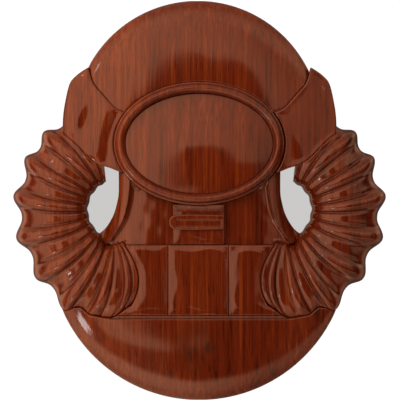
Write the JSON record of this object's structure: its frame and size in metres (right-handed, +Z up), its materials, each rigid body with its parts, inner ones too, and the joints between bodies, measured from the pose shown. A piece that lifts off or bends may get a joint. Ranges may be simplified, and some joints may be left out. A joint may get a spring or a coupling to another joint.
{
  "type": "carved wooden wall plaque",
  "caption": "Varnished mahogany wall plaque of a two-hose diver's head: domed hood, oval mask, ribbed hose loops, straps, chest panels and a recessed D-ring hanger.",
  "frame": {"origin": "on the flat back of the backboard, where it rests on the wall, on the centre line and at mid height", "axes": "+Z up the plaque, +Y into the wall, so the carved front faces -Y; +X is to the right seen from the front"},
  "size_m": [0.3348, 0.0335, 0.3572],
  "materials": {
    "mahogany": "clear gloss varnish over red-brown stain, fine upright grain",
    "mahogany_board": "stained and thinly varnished, satin",
    "beech": "bare turned dowel",
    "steel": "bright zinc-plated steel"
  },
  "bodies": {
    "plaque": {"backboard": "mahogany_board", "hood": "mahogany", "flap_left": "mahogany", "flap_right": "mahogany", "mask_skirt": "mahogany", "mask_ring": "mahogany", "mask_lens": "mahogany", "neck_panel": "mahogany", "neck_strap_left": "mahogany", "neck_strap_right": "mahogany", "centre_strap": "mahogany", "strap_tab": "mahogany", "strap_bar": "mahogany", "chest_panel_left": "mahogany", "chest_panel_centre": "mahogany", "chest_panel_right": "mahogany", "chest_bead": "mahogany", "lower_body": "mahogany", "hose_left": "mahogany", "hose_right": "mahogany", "hood_dowel_1": "beech", "hood_dowel_2": "beech", "body_dowel_1": "beech", "body_dowel_2": "beech", "hose_dowel_left_1": "beech", "hose_dowel_left_2": "beech", "hose_dowel_left_3": "beech", "hose_dowel_left_4": "beech", "hose_dowel_right_1": "beech", "hose_dowel_right_2": "beech", "hose_dowel_right_3": "beech", "hose_dowel_right_4": "beech", "hanger_plate": "steel", "hanger_screw_1": "steel", "hanger_screw_2": "steel"},
    "ring": {"hanger_ring": "steel"}
  },
  "joints": [
    {"name": "ring_swing", "type": "hinge", "parent": "plaque", "child": "ring", "pos_m": [0, -0.0045, 0.142], "axis": [1, 0, 0], "range_deg": [0, 180]}
  ]
}
